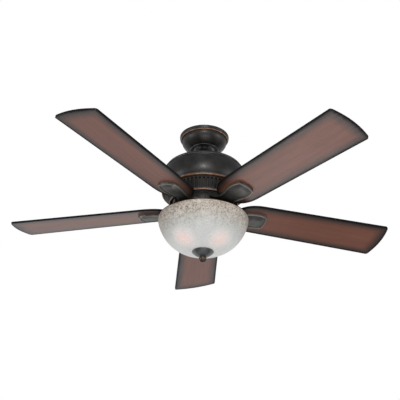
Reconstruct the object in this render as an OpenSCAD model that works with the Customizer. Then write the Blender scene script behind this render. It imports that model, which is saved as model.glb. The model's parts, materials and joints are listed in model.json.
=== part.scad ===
// Ceiling fan with a five-blade rotor and a bowl light, hung from a ceiling bracket.
// The origin is the centre of the bracket's top face, on the ceiling, and +Z points up.

/* [Overall] */
// Ceiling down to the reference plane of the rotor
rotor_drop = 268; // [262:1:700]
// Centre line to blade tip
tip_r = 660; // [480:1:760]
// Direction of the first blade, seen from above
first_blade_deg = 20.5; // [0:0.5:71]

/* [Ceiling bracket] */
// Length of the bracket's top plate
plate_l = 140; // [126:1:142]
// Width of the bracket's top plate
plate_w = 64; // [60:1:80]
// Thickness of the bracket's steel
plate_t = 2.5; // [2:0.1:4]
// Distance between the two screw slots
slot_spacing = 88.9; // [82:0.1:92]
// Width of each screw slot
slot_w = 5.5; // [4.5:0.1:7]
// Length of each screw slot, end to end
slot_l = 12; // [8:0.5:16]

/* [Hanger ball and downrod] */
// Radius of the hanger ball
ball_r = 30; // [24:0.5:31]
// Ceiling down to the ball's centre
ball_drop = 36; // [34:0.5:40]
// Radius of the downrod
rod_r = 9.5; // [8:0.25:11]
// Wall of the downrod
rod_t = 2.5; // [1.5:0.25:3.5]

/* [Canopy] */
// Radius of the trim ring at the ceiling
canopy_rim_r = 83; // [80:0.5:100]
// Radius of the canopy's body under the trim ring
canopy_r = 75.5; // [75:0.5:78]
// Height of the canopy
canopy_h = 53; // [52:0.5:70]
// Radius of the canopy's flat bottom
canopy_bottom_r = 48; // [42:0.5:55]
// Radius of the opening in the canopy's bottom
canopy_hole_r = 35; // [32:0.5:40]
// Height of the trim ring
trim_h = 13; // [9:0.5:15]
// Wall of the canopy
canopy_t = 1.2; // [0.8:0.1:2]

/* [Motor housing] */
// Radius of the housing's shoulder
shoulder_r = 134; // [124:0.5:165]
// Radius of the trim ring under the smooth band
band_ring_r = 138; // [128:0.5:170]
// Radius at the top of the vented band
vent_top_r = 128; // [118:0.5:158]
// Radius at the bottom of the vented band
vent_bottom_r = 112; // [108:0.5:140]
// Top of the housing above the rotor plane
dome_h = 150; // [140:1:160]
// Shoulder above the rotor plane
shoulder_h = 132; // [110:1:136]
// Bottom of the smooth band above the rotor plane
band_h = 54; // [50:1:60]
// Wall of the housing
housing_t = 1.6; // [1:0.1:2.5]
// Number of vent slots
vent_count = 60; // [24:1:64]
// Width of each vent slot
vent_w = 5; // [2:0.25:6]

/* [Motor] */
// Radius of the rotor shells
rotor_r = 94; // [88:0.5:100]
// Height of the rotor shells together
rotor_h = 74; // [66:1:78]
// Wall of the rotor shells
rotor_t = 3; // [2:0.25:4]
// Radius of the shaft where the bearings sit
shaft_r = 8.5; // [7.5:0.25:9.5]
// Radius of the wiring hole in the shaft
shaft_bore_r = 5.5; // [4:0.25:6]
// Outer radius of the bearings
bearing_r = 20; // [18:0.25:22]
// Width of the bearings
bearing_w = 12; // [10:0.5:13]
// Height of the stator's laminations
core_h = 20; // [14:0.5:24]
// Number of stator slots
slot_count = 16; // [12:2:24]

/* [Blades] */
// Gap between the irons' ring and a blade's root
root_gap = 1; // [0.5:0.25:8]
// Width of a blade near its root
blade_root_w = 137; // [110:1:165]
// Width of a blade at its tip
blade_tip_w = 157; // [120:1:185]
// Thickness of a blade
blade_t = 6; // [4:0.25:8]
// Length of the rounded root
blade_round = 92; // [70:1:110]
// How far the tip bulges past its corners
blade_crown = 9; // [4:0.5:20]
// Pitch of the blades
blade_pitch = 11.5; // [6:0.1:16]
// Upward slope of the blades
blade_cant = 1; // [0:0.1:1.5]

/* [Blade irons] */
// Inner radius of the flange under the motor
iron_in_r = 62; // [56:0.5:70]
// Outer radius of the ring that the irons make
iron_ring_r = 104; // [100:0.5:106]
// Height of that ring
iron_ring_h = 28; // [24:0.5:30]
// Thickness of the ring wall
iron_ring_t = 5; // [3:0.25:6]
// Gap between neighbouring irons
iron_gap = 1.2; // [0.6:0.1:4]
// Thickness of the pad under a blade
pad_t = 7; // [5:0.25:9]
// Distance from the centre line to the pad's end
pad_end_r = 218; // [200:1:240]
// Width of the pad at its end
pad_end_w = 54; // [40:1:64]
// Greatest width of the pad
pad_w = 72; // [62:1:86]
// Width of the neck
neck_w = 54; // [44:1:60]

/* [Light kit] */
// Radius of the bowl at its rim
bowl_r = 147; // [135:0.5:180]
// Height of the bowl
bowl_h = 112; // [100:0.5:150]
// Thickness of the glass
glass_t = 4; // [3:0.25:6]
// Rotor plane down to the top of the fitter pan
pan_drop = 46; // [44:0.5:60]
// Radius of the switch housing
switch_r = 74; // [66:0.5:80]
// Distance of each lamp from the centre line
lamp_x = 56; // [48:0.5:64]
// Radius of a lamp's globe
lamp_r = 22; // [16:0.5:26]
// Radius of the finial cap
cap_r = 35; // [28:0.2:40]
// Height of the finial cap
cap_h = 17.5; // [12:0.5:22]
// Radius of the finial's ball
knob_r = 12.3; // [8:0.1:14]
// Travel of the reverse switch
reverse_travel = 6; // [3:0.5:7]

/* [Clearances] */
// Gap between faces that move past each other
move_gap = 0.3; // [0.2:0.05:0.5]
// Radial clearance of a running fit
run_gap = 0.05; // [0.02:0.01:0.1]
// Radial clearance around a fixed screw or pin
hole_gap = 0.3; // [0.1:0.05:0.6]

/* [Hidden] */
$fn = 96;
blade_count = 5;
step_deg = 360 / blade_count;

// Heights in the row frame
plane_z = -rotor_drop;
ball_z = -ball_drop;
ball_flat = 14;
dome_z = plane_z + dome_h;
shoulder_z = plane_z + shoulder_h;
bead_h = 8;
band_z = plane_z + band_h;
band_ring_h = 8;
vent_top_z = band_z - band_ring_h;
vent_ring_h = 7;
vent_ring_z = plane_z + 5;
vent_bottom_z = vent_ring_z + vent_ring_h;
rotor_bottom_z = plane_z + 1;
rotor_top_z = rotor_bottom_z + rotor_h;
split_z = rotor_bottom_z + rotor_h / 2;
pan_z = plane_z - pan_drop;
pan_t = 1.5;
rim_z = pan_z - pan_t - 0.5;

// Bearings and their seats
end_t = 3;
lower_bearing_z = rotor_bottom_z + end_t;
upper_bearing_z = rotor_top_z - end_t - bearing_w;
race_t = 3.2;
ball_count = 8;
bearing_ball_r = (bearing_r - shaft_r - 2 * race_t) / 2 + 0.8;
bearing_pitch_r = (bearing_r + shaft_r) / 2;
boss_r = bearing_r + 4;
step_r = shaft_r + 2.5;

// Stator and rotor rings
core_r = rotor_r - rotor_t - 11.5;
air_gap = 0.5;
core_mid_z = split_z;
slot_depth = 26;
winding_h = 9;
cage_h = core_h + 6;

// Coupling
coupling_r = rod_r + 6;
coupling_low_z = rotor_top_z + 9;
coupling_top_z = dome_z + 26;
coupling_flange_r = 46;
coupling_flange_t = 4;
rod_low_z = dome_z - 12;
shaft_top_z = rod_low_z - 2;
pin_z = dome_z + 9;
pin_r = 3;
set_screw_z = dome_z + 19;
set_screw_r = 2.5;
cover_h = 38;
cover_t = 1.2;

// Screws
screw_r = 2;
head_r = 3.8;
head_t = 2.2;
canopy_screw_z = -head_r - 0.8;
dome_screw_pcr = coupling_flange_r - 12;
cover_r = dome_screw_pcr + head_r + 2 + cover_t;

// Lower fixed parts
plate_low_drop = 20;
carrier_z = plane_z - plate_low_drop;
carrier_t = 2.5;
switch_t = 1.5;
switch_top_z = carrier_z - carrier_t;
switch_lip = 10;
switch_screw_pcr = switch_r - switch_t - head_r - 0.6;
shaft_low_z = switch_top_z - 9;
nut_r = 14;
nut_h = 6;
centre_rod_r = 4;
centre_nut_r = 7.5;
centre_nut_h = 5;
reverse_z = (switch_top_z + pan_z) / 2;
reverse_slot_w = 5;
knob_h = 6;
knob_w = reverse_slot_w - 2 * move_gap;
reverse_slot_h = knob_h + reverse_travel + 2 * move_gap;

// Bowl, finial and centre rod
bowl_flat_r = 22;
bowl_hole_r = 6.5;
bowl_power = 1.51;
bowl_shape = 2.76;
bowl_depth = bowl_h + 1.5;
bowl_bottom_z = rim_z - bowl_drop_at(bowl_flat_r);
washer_t = 2;
washer_r = 16;
cap_top_z = bowl_bottom_z - washer_t;
cap_rim_z = rim_z - bowl_drop_at(cap_r - 1) - 0.4;
cap_low_z = cap_rim_z - cap_h;
cap_neck_r = 11;
knob_flat_h = knob_r * 0.58;
knob_z = cap_low_z - move_gap - knob_flat_h;
centre_rod_low_z = knob_z - 1;
lamp_z = pan_z - 54;
socket_h = 28;
socket_r = 15;
thread_r = 13;

// Blade irons
iron_flange_t = 5;
pad_wide_r = 170;
iron_screw_pcr = 82;
iron_screw_deg = 15;
iron_screw_r = 2.5;
blade_frame_z = plane_z - 11.6;
blade_screws = [[140, 0], [188, -20], [188, 20]];
blade_screw_r = 2.2;
grommet_r = 5.5;
grommet_t = 1.5;
pad_top = -blade_t / 2;

blade_root_r = iron_ring_r + root_gap;

BLADE_NODES = [for (i = [1:blade_count]) str("blade_", i)];
IRON_NODES = [for (i = [1:blade_count]) str("blade_iron_", i)];

// How far the bowl's outer surface lies under its rim at radius r
function bowl_drop_at(r) = bowl_depth * pow(1 - pow(r / bowl_r, bowl_shape), 1 / bowl_power);

// A tube between two heights
module tube(outer, inner, low, high) {
    translate([0, 0, low]) difference() {
        cylinder(r = outer, h = high - low);
        translate([0, 0, -1]) cylinder(r = inner, h = high - low + 2);
    }
}

// A screw along +Z with its head below the origin
module screw(shank_r, length, head, head_h) {
    cylinder(r = shank_r, h = length);
    translate([0, 0, -head_h]) cylinder(r = head, h = head_h);
}

// Copies its children around the centre line
module around(count, start = 0) {
    for (i = [0:count - 1]) rotate([0, 0, start + i * 360 / count]) children();
}

// Puts its children in the frame of blade i: x outward, z across the blade's thickness
module blade_frame(i) {
    rotate([0, 0, first_blade_deg + i * step_deg])
        translate([0, 0, blade_frame_z])
            rotate([0, -blade_cant, 0]) rotate([-blade_pitch, 0, 0]) children();
}

// ---- Ceiling bracket and canopy

module hanger_bracket() {
    seat_top = ball_z - 4;
    seat_low = -canopy_h + 3;
    seat_r = ball_r + 7;
    leg_w = 30;
    flange_w = 24;
    slot_x = slot_spacing / 2;
    flange_h = trim_h + 1;
    tab_w = 4;
    color("gray") difference() {
        union() {
            intersection() {
                translate([-plate_l / 2, -plate_w / 2, -plate_t]) cube([plate_l, plate_w, plate_t]);
                translate([0, 0, -plate_t]) cylinder(r = canopy_r - canopy_t - 1, h = plate_t);
            }
            for (s = [-1, 1]) {
                translate([s * (seat_r - plate_t / 2) - plate_t / 2, -leg_w / 2, seat_low])
                    cube([plate_t, leg_w, -seat_low - plate_t / 2]);
                translate([s * (plate_l / 2 - plate_t / 2) - plate_t / 2, -flange_w / 2, -flange_h])
                    cube([plate_t, flange_w, flange_h - plate_t / 2]);
            }
            tube(seat_r, ball_r - 6, seat_low, seat_top);
            translate([-tab_w / 2 - 3, ball_r + 1.5, seat_low])
                cube([tab_w + 6, seat_r - ball_r - 1.5, ball_z + 6 - seat_low]);
            translate([-tab_w / 2, ball_r - 3, ball_z - tab_w / 2])
                cube([tab_w, seat_r - ball_r + 2, tab_w]);
        }
        difference() {
            translate([0, 0, ball_z]) sphere(r = ball_r + move_gap);
            translate([-tab_w / 2, ball_r - 3, ball_z - tab_w / 2])
                cube([tab_w, seat_r - ball_r + 2, tab_w]);
        }
        translate([-rod_r - 1.5, -seat_r - 1, seat_low - 1])
            cube([2 * rod_r + 3, seat_r, seat_top - seat_low + 2]);
        for (s = [-1, 1]) {
            translate([s * slot_x, 0, -plate_t - 1]) screw_slot(plate_t + 2);
            translate([s * plate_l / 2, 0, canopy_screw_z])
                rotate([0, 90, 0]) cylinder(r = screw_r, h = 4 * plate_t, center = true);
        }
        translate([0, plate_w / 2 - 12, -plate_t - 1]) cylinder(r = 8, h = plate_t + 2);
    }
}

module screw_slot(h) {
    run = slot_l - slot_w;
    for (s = [-1, 1]) translate([s * run / 2, 0, 0]) cylinder(r = slot_w / 2, h = h);
    translate([-run / 2, -slot_w / 2, 0]) cube([run, slot_w, h]);
}

// The canopy's outline from the ceiling down and in to its opening, moved in by inset
function canopy_line(inset) = [
    [canopy_r - inset, 0],
    [canopy_r - inset, -canopy_h * 0.34],
    [canopy_r * 0.985 - inset, -canopy_h * 0.46],
    [canopy_r * 0.94 - inset, -canopy_h * 0.58],
    [canopy_r * 0.87 - inset, -canopy_h * 0.72],
    [canopy_r * 0.78 - inset, -canopy_h * 0.84],
    [canopy_bottom_r + (canopy_r - canopy_bottom_r) * 0.16 - inset * 0.7, -canopy_h + inset + 2.5],
    [canopy_bottom_r, -canopy_h + inset],
    [canopy_hole_r, -canopy_h + inset]];

function reversed(list) = [for (i = [len(list) - 1:-1:0]) list[i]];

module ceiling_canopy() {
    color([0.17, 0.15, 0.14]) difference() {
        rotate_extrude() polygon(concat(canopy_line(0), reversed(canopy_line(canopy_t))));
        for (s = [-1, 1]) translate([s * canopy_r, 0, canopy_screw_z])
            rotate([0, 90, 0]) cylinder(r = screw_r + hole_gap, h = 8, center = true);
    }
}

module canopy_trim_ring() {
    inner = canopy_r;
    color([0.2, 0.16, 0.13]) rotate_extrude() polygon([
        [canopy_rim_r, 0], [canopy_rim_r - 0.6, -trim_h * 0.55], [canopy_rim_r - 2.6, -trim_h * 0.85],
        [inner, -trim_h], [inner, -trim_h + 1.2], [canopy_rim_r - 3.6, -trim_h * 0.73],
        [canopy_rim_r - 1.8, -trim_h * 0.5], [canopy_rim_r - 1.2, 0]]);
}

module canopy_screws() {
    color([0.2, 0.18, 0.17]) for (s = [0, 180]) rotate([0, 0, s])
        translate([canopy_r, 0, canopy_screw_z]) rotate([0, -90, 0])
            screw(screw_r, canopy_r - plate_l / 2 + plate_t + 2, head_r, 2);
}

// ---- Hanger ball, downrod and coupling

module hanger_ball() {
    groove_w = 6.6;
    color([0.25, 0.23, 0.22]) difference() {
        translate([0, 0, ball_z]) sphere(r = ball_r);
        translate([0, 0, ball_z - ball_r - 1]) cylinder(r = rod_r, h = 2 * ball_r + 2);
        translate([-ball_r, -ball_r, ball_z + ball_flat]) cube([2 * ball_r, 2 * ball_r, ball_r]);
        translate([-groove_w / 2, ball_r - 4, ball_z - ball_r]) cube([groove_w, 8, 2 * ball_r]);
        translate([0, 0, ball_z + 6]) rotate([0, 90, 0])
            cylinder(r = 2.5, h = 2 * ball_r + 2, center = true);
    }
}

module ball_cross_pin() {
    color("silver") translate([0, 0, ball_z + 6]) rotate([0, 90, 0])
        cylinder(r = 2.5, h = 2 * ball_r - 6, center = true);
}

module downrod() {
    top = ball_z + ball_flat - 1;
    color([0.17, 0.15, 0.14]) difference() {
        tube(rod_r, rod_r - rod_t, rod_low_z, top);
        for (z = [pin_z, ball_z + 6]) translate([0, 0, z]) rotate([0, 90, 0])
            cylinder(r = z == pin_z ? pin_r : 2.5, h = 3 * rod_r, center = true);
    }
}

module motor_leads() {
    lead_r = 1.1;
    top = ball_z + ball_flat + 4;
    low = upper_bearing_z;
    color([0.12, 0.12, 0.14]) for (a = [90, 270]) rotate([0, 0, a])
        translate([shaft_bore_r - lead_r - 0.2, 0, low]) cylinder(r = lead_r, h = top - low);
}

module rod_coupling() {
    color([0.45, 0.45, 0.46]) difference() {
        union() {
            translate([0, 0, coupling_low_z])
                cylinder(r = coupling_r, h = coupling_top_z - coupling_low_z);
            translate([0, 0, dome_z - housing_t - coupling_flange_t])
                cylinder(r = coupling_flange_r, h = coupling_flange_t);
        }
        translate([0, 0, rod_low_z]) cylinder(r = rod_r, h = coupling_top_z - rod_low_z + 1);
        translate([0, 0, coupling_low_z - 1]) cylinder(r = shaft_r, h = shaft_top_z - coupling_low_z + 1);
        translate([0, 0, shaft_top_z - 1]) cylinder(r = shaft_bore_r, h = rod_low_z - shaft_top_z + 2);
        translate([0, 0, pin_z]) rotate([0, 90, 0])
            cylinder(r = pin_r, h = 4 * coupling_r, center = true);
        translate([0, 0, set_screw_z]) rotate([90, 0, 0])
            cylinder(r = set_screw_r, h = 4 * coupling_r, center = true);
        around(3, 30) translate([dome_screw_pcr, 0, dome_z - housing_t - coupling_flange_t - 1])
            cylinder(r = screw_r, h = coupling_flange_t + 2);
    }
}

module coupling_pin() {
    color("silver") translate([0, 0, pin_z]) rotate([0, 90, 0]) {
        cylinder(r = pin_r, h = 2 * coupling_r + 8, center = true);
        translate([0, 0, coupling_r + 2]) cylinder(r = pin_r + 1.5, h = 2);
    }
}

module coupling_set_screws() {
    color([0.3, 0.3, 0.3]) for (s = [0, 180]) rotate([0, 0, s])
        translate([0, rod_r, set_screw_z]) rotate([-90, 0, 0]) cylinder(r = set_screw_r, h = 9);
}

// The bell over the coupling, moved in by inset
function cover_line(inset) = [
    [cover_r - inset, 0],
    [cover_r - 3 - inset, cover_h * 0.2],
    [cover_r - 10 - inset, cover_h * 0.5],
    [cover_r - 16 - inset, cover_h * 0.8],
    [cover_r - 22 - inset, cover_h - inset],
    [rod_r + 0.5, cover_h - inset]];

module coupling_cover() {
    color([0.17, 0.15, 0.14]) translate([0, 0, dome_z]) rotate_extrude()
        polygon(concat(cover_line(0), reversed(cover_line(cover_t))));
}

// ---- Motor housing

dome_flat_r = 50;
dome_hole_r = coupling_r + 2;
dome_points = 10;

// The dome from its flat top out to the shoulder, moved in by inset
function dome_line(inset) = concat(
    [[dome_hole_r, dome_z - inset]],
    [for (i = [0:dome_points]) let (a = 90 * i / dome_points)
        [dome_flat_r + (shoulder_r - inset - dome_flat_r) * sin(a),
         shoulder_z + (dome_z - inset - shoulder_z) * cos(a)]],
    [[shoulder_r - inset, shoulder_z - bead_h / 2]]);

module housing_dome() {
    color([0.17, 0.15, 0.14]) difference() {
        rotate_extrude() polygon(concat(dome_line(0), reversed(dome_line(housing_t))));
        around(3, 30) translate([dome_screw_pcr, 0, dome_z - 5])
            cylinder(r = screw_r + hole_gap, h = 10);
    }
}

module housing_screws() {
    length = housing_t + coupling_flange_t + 3;
    color([0.3, 0.3, 0.3]) around(3, 30)
        translate([dome_screw_pcr, 0, dome_z]) rotate([180, 0, 0])
            screw(screw_r, length, head_r, head_t);
}

// The smooth band, gently convex, from the shoulder down to its trim ring
function band_line(inset) = let (top = shoulder_z - bead_h / 2, h = top - band_z) [
    [shoulder_r - inset, top],
    [shoulder_r + (band_ring_r - shoulder_r) * 0.6 - inset, top - h * 0.22],
    [shoulder_r + (band_ring_r - shoulder_r) * 0.75 - inset, top - h * 0.6],
    [band_ring_r - 2 - inset, band_z]];

module housing_band() {
    color([0.17, 0.15, 0.14]) rotate_extrude()
        polygon(concat(band_line(0), reversed(band_line(housing_t))));
}

module band_trim_ring() {
    inner = vent_top_r - 3;
    color([0.45, 0.3, 0.22]) rotate_extrude() polygon([
        [inner, band_z], [band_ring_r - 2, band_z], [band_ring_r - 0.4, band_z - 1.5],
        [band_ring_r - 0.2, band_z - 3.2], [band_ring_r - 1, band_z - 4], [band_ring_r, band_z - 5],
        [band_ring_r - 0.8, band_z - 7.2], [band_ring_r - 4, band_z - band_ring_h],
        [inner, band_z - band_ring_h], [inner, band_z - band_ring_h + 1.6],
        [band_ring_r - 5, band_z - band_ring_h + 2], [band_ring_r - 5, band_z - 1.6],
        [inner, band_z - 1.6]]);
}

module vent_band() {
    slot_low = vent_bottom_z + 4;
    slot_high = vent_top_z - 4;
    wall = housing_t + 1.2;
    color([0.15, 0.14, 0.13]) difference() {
        rotate_extrude() polygon([
            [vent_top_r, vent_top_z], [vent_bottom_r, vent_bottom_z],
            [vent_bottom_r - wall, vent_bottom_z], [vent_top_r - wall, vent_top_z]]);
        around(vent_count) translate([vent_bottom_r - 8, -vent_w / 2, slot_low])
            cube([vent_top_r - vent_bottom_r + 16, vent_w, slot_high - slot_low]);
    }
}

module vent_trim_ring() {
    inner = vent_bottom_r - 6;
    color([0.45, 0.3, 0.22]) rotate_extrude() polygon([
        [inner, vent_bottom_z], [vent_bottom_r, vent_bottom_z], [vent_bottom_r + 0.8, vent_bottom_z - 1.8],
        [vent_bottom_r - 0.4, vent_bottom_z - 3.2], [vent_bottom_r, vent_bottom_z - 4.6],
        [vent_bottom_r - 1, vent_ring_z], [inner, vent_ring_z]]);
}

// ---- Motor

module motor_shaft() {
    color("silver") difference() {
        union() {
            translate([0, 0, shaft_low_z]) cylinder(r = shaft_r, h = shaft_top_z - shaft_low_z);
            translate([0, 0, lower_bearing_z + bearing_w])
                cylinder(r = step_r, h = upper_bearing_z - lower_bearing_z - bearing_w);
        }
        translate([0, 0, shaft_low_z - 1]) cylinder(r = shaft_bore_r, h = shaft_top_z - shaft_low_z + 2);
    }
}

module stator_core() {
    tooth_gap = 3;
    color([0.5, 0.5, 0.52]) translate([0, 0, core_mid_z - core_h / 2]) difference() {
        cylinder(r = core_r, h = core_h);
        translate([0, 0, -1]) cylinder(r = step_r, h = core_h + 2);
        around(slot_count) {
            translate([core_r - 4, -tooth_gap / 2, -1]) cube([8, tooth_gap, core_h + 2]);
            translate([core_r - 4 - slot_depth, -tooth_gap * 1.3, -1])
                cube([slot_depth, tooth_gap * 2.6, core_h + 2]);
        }
    }
}

module stator_windings() {
    end_r = 7;
    outer = core_r - 3 - end_r;
    inner = core_r - 3 - slot_depth;
    color([0.72, 0.4, 0.2]) for (s = [-1, 1])
        translate([0, 0, core_mid_z + s * (core_h / 2 + (s < 0 ? winding_h : 0))])
            around(slot_count / 2) {
                // one coil end between two slots
                translate([inner, -end_r, 0]) cube([outer - inner, 2 * end_r, winding_h]);
                translate([outer, 0, 0]) cylinder(r = end_r, h = winding_h);
            }
}

module bearing_inner_races() {
    color("silver") for (z = [lower_bearing_z, upper_bearing_z]) bearing_race(shaft_r, shaft_r + race_t, z);
}

module bearing_outer_races() {
    color("silver") for (z = [lower_bearing_z, upper_bearing_z]) bearing_race(bearing_r - race_t, bearing_r, z);
}

// A race between two radii with the balls' groove in it
module bearing_race(inner, outer, z) {
    translate([0, 0, z]) difference() {
        tube(outer, inner, 0, bearing_w);
        rotate_extrude() translate([bearing_pitch_r, bearing_w / 2]) circle(r = bearing_ball_r + run_gap);
    }
}

module bearing_balls() {
    color("silver") for (z = [lower_bearing_z, upper_bearing_z])
        around(ball_count) translate([bearing_pitch_r, 0, z + bearing_w / 2]) sphere(r = bearing_ball_r);
}

module shell_half(seam_z, end_z) {
    up = end_z > seam_z ? 1 : -1;
    low = min(seam_z, end_z);
    inner_end = end_z - up * end_t;
    boss_end = end_z - up * (end_t + bearing_w - 1);
    boss_low = min(boss_end, inner_end);
    difference() {
        union() {
            tube(rotor_r, rotor_r - rotor_t, low, low + abs(end_z - seam_z));
            translate([0, 0, min(end_z, inner_end)]) cylinder(r = rotor_r, h = end_t);
            translate([0, 0, boss_low]) cylinder(r = boss_r, h = abs(inner_end - boss_end));
        }
        translate([0, 0, min(boss_low, end_z) - 1]) cylinder(r = shaft_r + 4, h = bearing_w + end_t + 2);
        translate([0, 0, up > 0 ? boss_low - 1 : inner_end]) cylinder(r = bearing_r, h = bearing_w);
        if (up < 0) around(blade_count, first_blade_deg) for (s = [-1, 1]) rotate([0, 0, s * iron_screw_deg])
            translate([iron_screw_pcr, 0, end_z - 1]) cylinder(r = iron_screw_r, h = end_t + 2);
    }
}

module upper_rotor_shell() {
    color([0.35, 0.35, 0.36]) difference() {
        shell_half(split_z, rotor_top_z);
        around(12) translate([rotor_r - 26, 0, rotor_top_z - end_t - 1]) cylinder(r = 5, h = end_t + 2);
    }
}

module lower_rotor_shell() {
    color([0.35, 0.35, 0.36]) shell_half(split_z, rotor_bottom_z);
}

module rotor_cage_ring() {
    color([0.55, 0.55, 0.57])
        tube(rotor_r - rotor_t, core_r + air_gap, core_mid_z - cage_h / 2, core_mid_z + cage_h / 2);
}

// ---- Blades and blade irons

// The blade's outline: a rounded root, straight sides and a crowned tip with round corners
function blade_half_w(x) = let (t = (x - blade_root_r) / blade_round,
        taper = (x - blade_root_r - blade_round) / (tip_r - blade_root_r - blade_round),
        w = (blade_root_w + (blade_tip_w - blade_root_w) * taper) / 2)
    t >= 1 ? w : w * pow(1 - pow(1 - t, 2.3), 1 / 2.3);

root_points = 14;
corner_r = 10;
function blade_side() = concat(
    [for (i = [1:root_points]) let (x = blade_root_r + blade_round * (1 - cos(90 * i / root_points)))
        [x, blade_half_w(x)]],
    [for (a = [90:-30:30]) [tip_r - blade_crown - corner_r + corner_r * cos(a),
        blade_half_w(tip_r) - corner_r + corner_r * sin(a)]],
    [for (v = [0.7, 0.35]) [tip_r - blade_crown * v * v, blade_half_w(tip_r) * v]]);

module blade_outline() {
    side = blade_side();
    polygon(concat([[blade_root_r, 0]], side, [[tip_r, 0]],
        [for (p = reversed(side)) [p[0], -p[1]]]));
}

module blade(i) {
    color([0.42, 0.24, 0.18]) blade_frame(i) difference() {
        translate([0, 0, -blade_t / 2]) linear_extrude(blade_t) blade_outline();
        for (p = blade_screws) translate([p[0], p[1], -blade_t])
            cylinder(r = blade_screw_r + hole_gap, h = 2 * blade_t);
    }
}

function pad_side() = [
    [iron_ring_r - 3, neck_w / 2], [iron_ring_r + 20, neck_w / 2],
    [pad_wide_r - 22, pad_w / 2 - 4], [pad_wide_r, pad_w / 2],
    [pad_end_r - 22, pad_w / 2 - 4], [pad_end_r - 4, pad_end_w / 2]];

module pad_outline(grow = 0) {
    side = [for (p = pad_side()) [p[0] + (p[0] > pad_wide_r ? grow : 0), p[1] + grow]];
    polygon(concat(side, [[pad_end_r + grow, 0]], [for (p = reversed(side)) [p[0], -p[1]]]));
}

// A wedge of the ring around the centre line, from one gap to the next
module iron_sector(h) {
    reach = iron_ring_r * 1.4;
    half = step_deg / 2;
    linear_extrude(h) polygon([[0, 0], [reach * cos(half), -reach * sin(half)],
        [reach, 0], [reach * cos(half), reach * sin(half)]]);
}

module blade_iron(i) {
    rim_w = 4;
    rim_h = 2;
    pad_low = pad_top - pad_t;
    neck_low = pad_low - 5;
    ring_low = rotor_bottom_z - iron_ring_h;
    angle = first_blade_deg + i * step_deg;
    color([0.2, 0.18, 0.17]) difference() {
        union() {
            rotate([0, 0, angle]) intersection() {
                union() {
                    tube(iron_ring_r, iron_ring_r - iron_ring_t, ring_low, rotor_bottom_z - 1);
                    tube(iron_ring_r - 1, iron_in_r, rotor_bottom_z - iron_flange_t, rotor_bottom_z);
                }
                translate([iron_gap / 2 / sin(step_deg / 2), 0, ring_low - 1])
                    iron_sector(iron_ring_h + 2);
            }
            blade_frame(i) {
                translate([0, 0, pad_low]) linear_extrude(pad_t) pad_outline();
                translate([0, 0, pad_low - rim_h]) linear_extrude(rim_h + 1) difference() {
                    pad_outline();
                    pad_outline(-rim_w);
                }
                translate([iron_ring_r - iron_ring_t + 1, -neck_w / 2, neck_low])
                    cube([24, neck_w, pad_top - neck_low - 1]);
            }
        }
        rotate([0, 0, angle]) for (s = [-1, 1]) rotate([0, 0, s * iron_screw_deg])
            translate([iron_screw_pcr, 0, rotor_bottom_z - iron_flange_t - 1])
                cylinder(r = iron_screw_r + hole_gap, h = iron_flange_t + 2);
        blade_frame(i) for (p = blade_screws) translate([p[0], p[1], pad_low + 2])
            cylinder(r = blade_screw_r, h = pad_t);
    }
}

module iron_screws() {
    color([0.3, 0.3, 0.3]) around(blade_count, first_blade_deg) for (s = [-1, 1])
        rotate([0, 0, s * iron_screw_deg])
            translate([iron_screw_pcr, 0, rotor_bottom_z - iron_flange_t])
                screw(iron_screw_r, iron_flange_t + end_t + 2, 4.5, 2.6);
}

module blade_screws() {
    length = blade_t + grommet_t + pad_t - 3;
    color([0.3, 0.3, 0.3]) for (i = [0:blade_count - 1]) blade_frame(i) for (p = blade_screws)
        translate([p[0], p[1], blade_t / 2 + grommet_t]) rotate([180, 0, 0])
            screw(blade_screw_r, length, 4.6, 2.4);
}

module blade_grommets() {
    color("dimgray") for (i = [0:blade_count - 1]) blade_frame(i) for (p = blade_screws)
        translate([p[0], p[1], 0]) tube(grommet_r, blade_screw_r, blade_t / 2, blade_t / 2 + grommet_t);
}

// ---- Fixed parts under the rotor

module carrier_plate() {
    color("silver") difference() {
        tube(switch_r + 1, shaft_r, carrier_z - carrier_t, carrier_z);
        around(3, 30) translate([switch_screw_pcr, 0, carrier_z - carrier_t - 1])
            cylinder(r = screw_r, h = carrier_t + 2);
    }
}

module shaft_nut() {
    color("silver") difference() {
        translate([0, 0, switch_top_z - nut_h]) cylinder(r = nut_r, h = nut_h, $fn = 6);
        translate([0, 0, switch_top_z - nut_h - 1]) cylinder(r = shaft_r, h = nut_h + 2);
    }
}

module switch_housing() {
    bush_r = 4;
    color([0.17, 0.15, 0.14]) difference() {
        union() {
            tube(switch_r, switch_r - switch_t, pan_z, switch_top_z);
            tube(switch_r, switch_r - switch_lip, switch_top_z - switch_t, switch_top_z);
            tube(switch_r, switch_r - switch_lip, pan_z, pan_z + switch_t);
        }
        around(3, 30) {
            translate([switch_screw_pcr, 0, switch_top_z - 5]) cylinder(r = screw_r + hole_gap, h = 10);
            translate([switch_screw_pcr, 0, pan_z - 5]) cylinder(r = screw_r, h = 10);
        }
        translate([-reverse_slot_w / 2, switch_r - 5, reverse_z - reverse_slot_h / 2])
            cube([reverse_slot_w, 10, reverse_slot_h]);
        for (s = [-1, 1]) rotate([0, 0, -90 + s * 35]) translate([switch_r - 5, 0, reverse_z])
            rotate([0, 90, 0]) cylinder(r = bush_r, h = 10);
    }
}

module switch_housing_screws() {
    color([0.3, 0.3, 0.3]) around(3, 30) translate([switch_screw_pcr, 0, 0]) {
        translate([0, 0, switch_top_z - switch_t]) screw(screw_r, switch_t + carrier_t + 2, head_r, head_t);
        translate([0, 0, pan_z - pan_t]) screw(screw_r, pan_t + switch_t + 2, head_r, head_t);
    }
}

module reverse_switch_body() {
    depth = 12;
    color([0.1, 0.1, 0.1]) difference() {
        translate([-8, switch_r - switch_t - depth, reverse_z - 9.5]) cube([16, depth - 1, 19]);
        translate([-knob_w / 2 - move_gap, switch_r - switch_t - 5, reverse_z - reverse_slot_h / 2])
            cube([knob_w + 2 * move_gap, 10, reverse_slot_h]);
    }
}

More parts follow.
